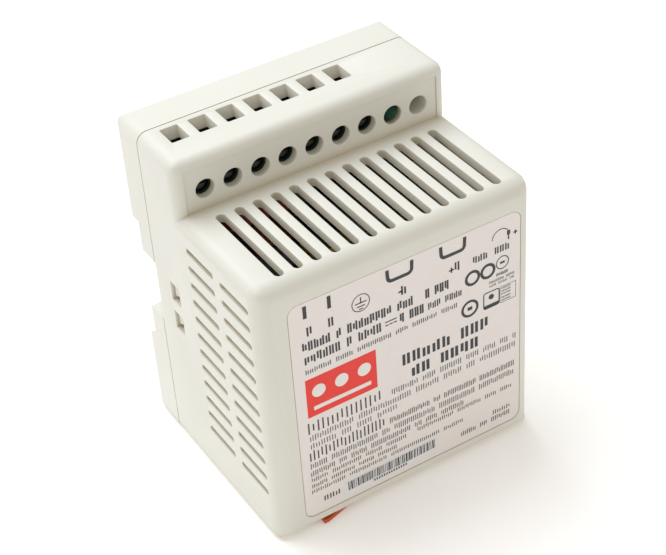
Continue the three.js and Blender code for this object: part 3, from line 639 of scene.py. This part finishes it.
def dark_print(bm):
    # Terminal marks along the top edge: two line bars, an earth sign and the two output brackets.
    for x in (-26.5, -19.9):
        bar(bm, x - 0.5, x + 0.5, 65.8, 69.4)
    for x in (-0.3, 14.95):
        low = [*arc(x - 2.2, 67.1, 1.2, 180, 270, 5), *arc(x + 2.2, 67.1, 1.2, 270, 360, 5)]
        stroke(bm, [(x - 3.5, 69.4), *low, (x + 3.5, 69.4)], 0.95)
    for x in (-26.4, -20.5, -0.1, 15.4):
        type_row(bm, x, x + 1.9, 60.4, 63, (1,), 0.5)
    stroke(bm, circle(-11.4, 63.4, 2.45), 0.22, closed=True)
    bar(bm, -11.55, -11.25, 63.4, 65)
    for half, z in ((1.6, 63.4), (1.1, 62.4), (0.55, 61.6)):
        bar(bm, -11.4 - half, -11.4 + half, z - 0.14, z + 0.14)
    bar(bm, -0.9, 0.3, 61.25, 61.7)
    bar(bm, 13.7, 15.2, 61, 61.4)
    bar(bm, 14.25, 14.65, 60.4, 62)
    # Light and trimmer marks, with the arrow that turns towards the plus sign.
    type_row(bm, 20.8, 25.4, 60.2, 62.2, (3,), 0.42)
    type_row(bm, 27.3, 32, 60.2, 62.2, (3,), 0.42)
    stroke(bm, arc(29.1, 64.5, 2.55, 178, 25, 16), 0.22)
    stroke(bm, [(31.45, 65.7), (31.45, 64.5)], 0.95)
    stroke(bm, [(31.45, 64.5), (31.45, 63.1)], 0.4)
    bar(bm, 32.9, 34.1, 64.25, 64.6)
    bar(bm, 33.33, 33.67, 63.8, 65)
    # Ratings.
    type_row(bm, -27.9, 3.4, 56.1, 58.8, (5, 1, 8, 3), 0.5)
    type_row(bm, 6.7, 13.8, 56.1, 58.8, (1, 3), 0.5)
    type_row(bm, -27.6, -5.8, 52.2, 54.9, (6, 1, 4), 0.5)
    bar(bm, -5, -1.7, 54.1, 54.4)
    for x in (-5, -3.8, -2.6):
        bar(bm, x, x + 0.9, 53.1, 53.4)
    type_row(bm, -0.8, 6.4, 52.2, 54.9, (1, 3), 0.5)
    type_row(bm, 7.4, 17.6, 52.3, 54.3, (3, 4), 0.36)
    type_row(bm, -27.6, 16.2, 49.2, 50.6, (6, 4, 8, 3, 6, 4), 0.24)
    type_row(bm, -0.6, 25.8, 38.5, 41.9, (5, 3), 0.85)
    type_row(bm, 2, 22.7, 33.8, 37, (2, 4), 0.9)
    # Approval marks are shown as plain rings and frames.
    for x in (20.6, 25.2):
        stroke(bm, circle(x, 56, 1.9), 0.8, closed=True)
    stroke(bm, circle(29.6, 56.8, 1.85), 0.26, closed=True)
    bar(bm, 28.9, 30.3, 56.5, 57.1)
    type_row(bm, 27.8, 31.4, 53.1, 54, (6,), 0.16)
    type_row(bm, 25.6, 33.4, 51.7, 52.5, (7, 4), 0.13)
    type_row(bm, 25.7, 33.3, 50.6, 51.3, (3, 4, 2), 0.13)
    stroke(bm, circle(19.7, 46.9, 2.25), 0.72, closed=True)
    bar(bm, 19, 20.4, 46.4, 47.4)
    stroke(bm, ring(23.9, 28.6, 44.4, 49.3, 0.6, 0, 3), 0.3, closed=True)
    bar(bm, 24, 28.5, 44.5, 45.4)
    disc(bm, 26.2, 47.6, 0.8)
    stroke(bm, ring(28.9, 33.7, 44.3, 49.3, 0.1, 0, 1), 0.1, closed=True)
    for z in (48.5, 47.6, 46.7, 45.6, 44.7):
        type_row(bm, 29.3, 32.2, z, z + 0.5, (6,), 0.1)
    # Notices.
    type_row(bm, -28.3, -6.5, 30.5, 34, (8,), 0.38)
    type_row(bm, -4.1, 34.2, 30.8, 32.6, (6, 3, 5, 3, 3, 2, 1), 0.22)
    type_row(bm, -28, 34, 28, 29.8, (9, 11, 5, 4, 2, 8), 0.22)
    type_row(bm, -28, -2.4, 25.5, 27.2, (5, 2, 3, 4), 0.22)
    type_row(bm, -28.5, -6, 21.6, 24.9, (10,), 0.36)
    type_row(bm, -5.1, 33.6, 21.8, 23.6, (11, 2, 9, 10), 0.22)
    type_row(bm, -28.5, 33.5, 19, 20.8, (4, 11, 2, 10, 9, 9), 0.22)
    type_row(bm, -28.6, 17.6, 16.5, 18.2, (6, 2, 4, 10, 2, 3, 6), 0.22)
    type_row(bm, -28.6, -0.2, 14.6, 15.9, (4, 7, 4, 5), 0.22)
    type_row(bm, 3, 32.8, 14.8, 16.1, (9, 6, 3, 3), 0.22)
    type_row(bm, -28.6, -3.2, 12.6, 13.8, (4, 6, 4, 5), 0.22)
    type_row(bm, -28.8, 17.3, 10.7, 11.9, (8, 9, 12, 5), 0.22)
    type_row(bm, -25.5, -20.4, 6.6, 8.2, (3,), 0.36)
    type_row(bm, 26.6, 32.4, 8, 9.4, (4,), 0.24)
    type_row(bm, 16.4, 32.2, 5.8, 7.3, (4, 2, 5), 0.24)


ink = piece("label_dark_print", dark_print)
ink.data.materials.append(printed_film("screen_ink_charcoal", "#2B2D33", "#35373D", 0.45))
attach(ink, "case")

red_panel = piece("label_red_panel", lambda bm: bar(bm, -28, -8.1, 35.6, 47.5))
red_panel.data.materials.append(printed_film("screen_ink_red", "#F5382A", "#EE3024", 0.4))
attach(red_panel, "case")


def panel_motif(bm):
    for x in (-24.5, -18.05, -11.6):
        disc(bm, x, 43, 1.9, INK_TOP - 0.03)
    bar(bm, -26.2, -9.9, 37.4, 38.6, INK_TOP - 0.03)


motif = piece("label_panel_motif", panel_motif)
motif.data.materials.append(printed_film("screen_ink_white", "#F4F1EE", "#EDEAE6", 0.42))
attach(motif, "case")

# --- Serial sticker ----------------------------------------------------------------------------
# A matt white paper sticker laid over the label by hand, with a row of printed bars of no meaning.
STICKER_TILT = math.radians(0.9)


def on_sticker(outline):
    """The outline turned with the sticker, which was laid a little askew."""
    c, d = math.cos(STICKER_TILT), math.sin(STICKER_TILT)
    u0, v0 = -5.4, FOOT + 7.1
    return [(u0 + (u - u0) * c - (v - v0) * d, v0 + (u - u0) * d + (v - v0) * c) for u, v in outline]


sticker_outline = on_sticker(ring(-19.5, 8.7, FOOT + 4.7, FOOT + 9.5, 0.3, 0, 4))
sticker = piece("serial_sticker_paper", prism("y", sticker_outline, FRONT + 0.02, FRONT + 0.06))
sticker.data.materials.append(printed_film("matt_paper_white", "#F1F1F2", "#EAEAEC", 0.62))
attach(sticker, "case")
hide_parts("serial_sticker")


def sticker_bars(bm):
    x = -18.4
    while x < 8.0:
        width = random.choice((0.16, 0.16, 0.3, 0.44))
        ends = (FOOT + 6.3, FOOT + 9.2)
        outline = on_sticker([(x, ends[0]), (x + width, ends[0]), (x + width, ends[1]), (x, ends[1])])
        loft(bm, "y", [(outline, FRONT), (outline, FRONT + 0.03)])
        x += width + random.choice((0.16, 0.2, 0.34))
    for k in range(14):
        u = -10.8 + k * 0.74
        ends = (FOOT + 5.2, FOOT + 5.9)
        outline = on_sticker([(u, ends[0]), (u + 0.42, ends[0]), (u + 0.42, ends[1]), (u, ends[1])])
        loft(bm, "y", [(outline, FRONT), (outline, FRONT + 0.03)])


bars = piece("serial_sticker_bars", sticker_bars)
bars.data.materials.append(printed_film("thermal_print_black", "#2C2D31", "#37383C", 0.5))
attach(bars, "case")

# --- Circuit board and its insulation -----------------------------------------------------------
# Glass-epoxy laminate with green solder mask; a thin polyester sheet keeps its solder side clear
# of the base. The tracks under the mask are not drawn.
solder_mask = moulded_plastic("solder_mask_green", "#2F6B3E", "#27593A", 1.6, 0.02, 0.32)
refined("circuit_board", solder_mask, 0.1)
polyester_sheet = moulded_plastic("polyester_sheet_clear", "#D9D4C2", "#CFC9B5", 4, 0.01, 0.22)
refined("insulation_sheet", polyester_sheet, 0)

# --- Terminal block, clamps and contacts ---------------------------------------------------------
# The block is green glass-filled polyamide. In each chamber a tin-plated steel cage rises on its
# screw and presses the wire against a brass contact, whose leg runs down to the board.
green_polyamide = moulded_plastic("moulded_polyamide_green", "#0E3523", "#0B2A1C", 0.5, 0.02, 0.42)
refined("terminal_block", green_polyamide, 0.12)
tin_plate = steel("tin_plated_steel", "#CFCDC6", 0.3, 0.6)
rolled_brass = steel("rolled_brass", "#C2A262", 0.32, 0.7)
for i in range(1, 8):
    refined(f"wire_clamp_{i}", tin_plate, 0.15)
    refined(f"terminal_contact_{i}", rolled_brass, 0.06)

# --- Terminal screws -----------------------------------------------------------------------------
# M2.5 steel screws, zinc-plated and passivated, with a domed head and one slot. Each sits about
# 3 mm behind the face, so only a dark glint of it shows in its hole.
zinc_plate = steel("zinc_plated_steel", "#636462", 0.42, 0.5)


def lathe(bm, x, z, profile, sides=28):
    """A turned body about a line along Y: profile is (depth, radius), from the front to the back."""
    rows = []
    for y, r in profile:
        rows.append([bm.verts.new(Vector((x + r * math.cos(a), y, z + r * math.sin(a))) * MM)
                     for a in (math.tau * k / sides for k in range(sides))])
    for low, high in zip(rows, rows[1:]):
        for i in range(sides):
            bm.faces.new((low[i], low[(i + 1) % sides], high[(i + 1) % sides], high[i]))
    bm.faces.new(rows[0])
    bm.faces.new(rows[-1])


screw_profile = [(6.2, 1.35), (6.24, 1.7), (6.42, 1.98), (6.75, 2.1), (7.85, 2.1), (8.0, 2.0), (8.0, 1.25)]
for turn in range(12):
    screw_profile += [(8.25 + turn * 0.37, 1.0), (8.43 + turn * 0.37, 1.25)]
screw_profile += [(12.8, 1.0), (13.0, 0.8)]
for i, x in enumerate(TERMINAL_X, 1):
    screw = piece(f"terminal_screw_turned_{i}", lambda bm: lathe(bm, x, AXIS_Z, screw_profile))
    slot_box = piece("slot_tool", box_cutter((x - 2.3, x + 2.3, 5.9, 6.95, AXIS_Z - 0.33, AXIS_Z + 0.33)))
    combine(screw, slot_box, "DIFFERENCE")
    screw.data.materials.clear()
    screw.data.materials.append(zinc_plate)
    shade(screw, 38)
    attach(screw, f"screw_{i}")
    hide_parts(f"terminal_screw_{i}")

# --- Status light --------------------------------------------------------------------------------
# A 4.7 mm light-emitting diode in dark green tinted epoxy looks through the eighth hole. Its domed
# nose stops just behind the face, and a nylon spacer holds it off the board.
LENS_R = 2.35


def diode(bm):
    turns = [math.radians(a) for a in range(6, 91, 7)]
    dome = [(RISER + 0.35 + LENS_R * (1 - math.cos(a)), LENS_R * math.sin(a)) for a in turns]
    lathe(bm, LIGHT_X, AXIS_Z, [*dome, (9.6, LENS_R), (9.6, 2.7), (9.7, 2.8), (10.6, 2.8)], 32)


light = piece("status_light_lens", diode)
tinted_epoxy = bpy.data.materials.new("tinted_epoxy_green")
tinted_epoxy.use_nodes = True
tinted = tinted_epoxy.node_tree
lens = tinted.nodes["Principled BSDF"]
lens_place = add_node(tinted, "ShaderNodeTexCoord").outputs["Object"]
swirl = add_node(tinted, "ShaderNodeTexNoise", {"Vector": lens_place, "Scale": 1 / (1.5 * MM), "Detail": 2})
lens_tone = add_node(tinted, "ShaderNodeMix",
                     {0: swirl.outputs[0], 6: linear("#02382A"), 7: linear("#064A38")}, data_type="RGBA")
tinted.links.new(lens_tone.outputs[2], lens.inputs["Base Color"])
lens.inputs["Roughness"].default_value = 0.38
lens.inputs["IOR"].default_value = 1.53
lens.inputs["Specular IOR Level"].default_value = 0.15
light.data.materials.append(tinted_epoxy)
shade(light, 50)
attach(light, "case")
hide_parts("status_led")
nylon_white = moulded_plastic("moulded_nylon_natural", "#DEDBCF", "#D5D2C5", 0.6, 0.01, 0.4)
refined("led_spacer", nylon_white, 0.15)

# --- Output trimmer ------------------------------------------------------------------------------
# A sealed blue potentiometer stands behind the last hole. Its white rotor has a crossed recess and
# turns through two thirds of a turn; a short tube in the shell leads the screwdriver to it.
blue_housing = moulded_plastic("moulded_polyester_blue", "#2B5FB4", "#24529E", 0.5, 0.01, 0.35)
refined("trimmer_body", blue_housing, 0.15)
refined("trimmer_rotor", nylon_white, 0.08)

# --- Mains input ---------------------------------------------------------------------------------
# Behind the first terminals the mains passes a fuse, an interference capacitor and a two-winding
# choke on a sintered ferrite frame, and then a thermistor that limits the first rush of current.
black_thermoset = moulded_plastic("moulded_thermoset_black", "#232325", "#1B1B1D", 0.5, 0.02, 0.45)
red_brown_box = moulded_plastic("moulded_box_red_brown", "#A5432A", "#953A24", 0.6, 0.01, 0.35)
sintered_ferrite = moulded_plastic("sintered_ferrite", "#47474A", "#3A3A3D", 0.7, 0.04, 0.6)
dipped_epoxy_green = moulded_plastic("dipped_epoxy_green", "#33462F", "#2A3B28", 1.2, 0.05, 0.42)


def wound_wire(name, colour, wire_mm, along, roughness):
    """Enamelled winding wire laid side by side: a round ridge for each turn, with painted shade darkening the
    valleys between turns.
    """
    made = bpy.data.materials.new(name)
    made.use_nodes = True
    tree = made.node_tree
    shader = tree.nodes["Principled BSDF"]
    place = add_node(tree, "ShaderNodeTexCoord").outputs["Object"]
    # A wave of scale s repeats every 0.314 / s metres, so this gives one ridge for each wire.
    turns = add_node(tree, "ShaderNodeTexWave",
                     {"Vector": place, "Scale": 0.314 / (wire_mm * MM), "Distortion": 0.3},
                     bands_direction=along, wave_profile="SIN")
    # Painted shade: the base colour falls to about a third of the wire's colour in the valleys between turns.
    valley_painted_shade = [0.35 * c for c in linear(colour)[:3]] + [1]
    tone = add_node(tree, "ShaderNodeMix", {0: turns.outputs[1], 6: valley_painted_shade, 7: linear(colour)},
                    data_type="RGBA")
    relief = add_node(tree, "ShaderNodeBump",
                      {"Strength": 0.9, "Distance": wire_mm / 2 * MM, "Height": turns.outputs[1]})
    tree.links.new(tone.outputs[2], shader.inputs["Base Color"])
    tree.links.new(relief.outputs[0], shader.inputs["Normal"])
    shader.inputs["Roughness"].default_value = roughness
    shader.inputs["Metallic"].default_value = 0.7
    return made


enamelled_copper = wound_wire("enamelled_copper_wire", "#B8623A", 0.5, "Y", 0.32)
for node, material, slot_name, rounding in (
    ("fuse", black_thermoset, "black_plastic", 0.3),
    ("line_capacitor", red_brown_box, "film_box", 0.4),
    ("choke_core", sintered_ferrite, "ferrite", 0.4),
    ("choke_winding_1", enamelled_copper, "copper_wire", 0.5),
    ("choke_winding_2", enamelled_copper, "copper_wire", 0.5),
    ("inrush_thermistor", dipped_epoxy_green, "dark_disc", 0.25),
):
    refined(node, material, rounding)

# --- Primary side --------------------------------------------------------------------------------
# A flat bridge rectifier feeds a large aluminium capacitor in a black sleeve. The power transistor
# is screwed to a finned heat sink cut from extruded aluminium.
shrink_sleeve = moulded_plastic("shrink_sleeve_black", "#2B2D35", "#23252C", 2.5, 0.01, 0.28)
extruded_aluminium = steel("extruded_aluminium", "#C3C5C7", 0.4, 0.9)
for node, material, slot_name, rounding in (
    ("bridge_rectifier", black_thermoset, "black_plastic", 0.3),
    ("bulk_capacitor", shrink_sleeve, "sleeve", 0.4),
    ("primary_heat_sink", extruded_aluminium, "aluminium", 0.15),
    ("power_transistor", black_thermoset, "black_plastic", 0.12),
    ("transistor_screw", zinc_plate, "zinc_steel", 0.12),
):
    refined(node, material, rounding)

# --- Transformer ---------------------------------------------------------------------------------
# Two ferrite E cores close round a bobbin of black thermoset. The winding is wrapped in yellow
# polyester tape, whose overlapping edges show as fine steps, each with a band of painted shade.
yellow_tape = wound_wire("polyester_tape_yellow", "#E2BC2E", 3.0, "Z", 0.35)
yellow_tape.node_tree.nodes["Principled BSDF"].inputs["Metallic"].default_value = 0
for node, material, slot_name, rounding in (
    ("transformer_core", sintered_ferrite, "ferrite", 0.4),
    ("transformer_winding", yellow_tape, "yellow_tape", 0.6),
    ("transformer_bobbin", black_thermoset, "black_plastic", 0.2),
):
    refined(node, material, rounding)

# --- Output side and control ---------------------------------------------------------------------
# The rectifier has its own heat sink; two smaller capacitors and a rod choke smooth the output. A
# blue safety capacitor, an optocoupler and the controller cross between the two sides.
dipped_epoxy_blue = moulded_plastic("dipped_epoxy_blue", "#2E66B0", "#28599C", 1.2, 0.05, 0.35)
rod_winding = wound_wire("enamelled_copper_rod", "#A95A34", 0.8, "Y", 0.32)
for node, material, slot_name, rounding in (
    ("secondary_heat_sink", extruded_aluminium, "aluminium", 0.15),
    ("output_rectifier", black_thermoset, "black_plastic", 0.12),
    ("rectifier_screw", zinc_plate, "zinc_steel", 0.12),
    ("output_capacitor_1", shrink_sleeve, "sleeve", 0.3),
    ("output_capacitor_2", shrink_sleeve, "sleeve", 0.3),
    ("output_choke", rod_winding, "copper_wire", 0.3),
    ("safety_capacitor", dipped_epoxy_blue, "blue_disc", 0.25),
    ("optocoupler", black_thermoset, "black_plastic", 0.12),
    ("controller_chip", black_thermoset, "black_plastic", 0.12),
):
    refined(node, material, rounding)
